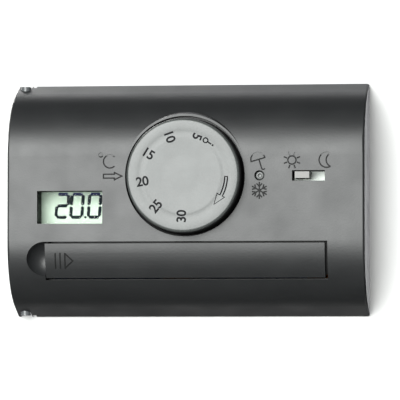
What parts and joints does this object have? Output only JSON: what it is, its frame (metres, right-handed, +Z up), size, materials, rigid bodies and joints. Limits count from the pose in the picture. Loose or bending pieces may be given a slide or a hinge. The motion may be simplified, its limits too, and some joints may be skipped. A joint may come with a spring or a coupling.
{
  "type": "wall thermostat",
  "caption": "Wall thermostat with a long curved dark grey case, a round set-point dial, a small display, a season button, a slider and a battery lid.",
  "frame": {"origin": "centre of the back face, which lies against the wall", "axes": "+X to the reader's right along the long side, +Y out of the back into the wall, +Z up; the front faces -Y"},
  "size_m": [0.11, 0.0275, 0.072],
  "materials": {
    "cover_plastic": "fine spark-eroded texture, dark grey ABS",
    "dial_plastic": "satin dark grey ABS",
    "base_plastic": "moulded dark grey ABS",
    "slider_plastic": "pale moulded acetal",
    "button_plastic": "grey moulded plastic",
    "clear_lens": "clear acrylic",
    "display_glass": "display cell with a reflective back",
    "inner_plastic": "black moulded plastic",
    "contact_rubber": "striped contact rubber",
    "board_laminate": "glass-epoxy board under green solder resist",
    "component_black": "moulded epoxy",
    "relay_case": "moulded blue case",
    "capacitor_sleeve": "aluminium can in a shrunk sleeve",
    "nickel_steel": "nickel-plated steel",
    "zinc_steel": "zinc-plated steel",
    "tinned_brass": "nickel-plated brass",
    "terminal_plastic": "black polyamide",
    "potentiometer_case": "moulded blue-grey case",
    "sensor_epoxy": "epoxy bead on tinned leads",
    "battery_sleeve": "printed sleeve over a cell can"
  },
  "bodies": {
    "base": {"wall_base": "base_plastic", "terminal_block": "terminal_plastic", "terminal_screws": "zinc_steel", "terminal_clamps": "tinned_brass", "base_contact_blades": "tinned_brass"},
    "front_unit": {"front_cover": "cover_plastic", "lcd_window": "clear_lens", "main_pcb": "board_laminate", "pcb_screws": "zinc_steel", "lcd_glass": "display_glass", "lcd_holder": "inner_plastic", "lcd_connector_strips": "contact_rubber", "relay": "relay_case", "contact_socket": "inner_plastic", "potentiometer_body": "potentiometer_case", "slide_switch_body": "inner_plastic", "season_switch_body": "inner_plastic", "battery_tray": "inner_plastic", "battery_left": "battery_sleeve", "battery_right": "battery_sleeve", "contact_spring": "nickel_steel", "contact_plate": "nickel_steel", "microcontroller": "component_black", "crystal": "nickel_steel", "capacitor": "capacitor_sleeve", "resistors": "component_black", "temperature_sensor": "sensor_epoxy"},
    "dial": {"dial_knob": "dial_plastic", "potentiometer_shaft": "nickel_steel"},
    "slider": {"slider_knob": "slider_plastic"},
    "season_button": {"season_button": "button_plastic"},
    "lid_carrier": {"cover_spring_tongue": "nickel_steel"},
    "battery_lid": {"battery_cover": "cover_plastic"}
  },
  "joints": [
    {"name": "front_unit_pull", "type": "slide", "parent": "base", "child": "front_unit", "axis": [0, -1, 0], "range_m": [0, 0.035]},
    {"name": "dial_turn", "type": "hinge", "parent": "front_unit", "child": "dial", "pos_m": [0, -0.022, 0.0066], "axis": [0, 1, 0], "range_deg": [-127, 89]},
    {"name": "slider_slide", "type": "slide", "parent": "front_unit", "child": "slider", "axis": [1, 0, 0], "range_m": [0, 0.0042]},
    {"name": "season_press", "type": "slide", "parent": "front_unit", "child": "season_button", "axis": [0, 1, 0], "range_m": [0, 0.0005], "stiffness_N_per_m": 500, "springref_m": -0.0005},
    {"name": "battery_lid_lift", "type": "slide", "parent": "front_unit", "child": "lid_carrier", "axis": [0, -1, 0], "range_m": [0, 0.03]},
    {"name": "battery_lid_slide", "type": "slide", "parent": "lid_carrier", "child": "battery_lid", "axis": [1, 0, 0], "range_m": [0, 0.00075], "stiffness_N_per_m": 300, "springref_m": -0.0005}
  ]
}
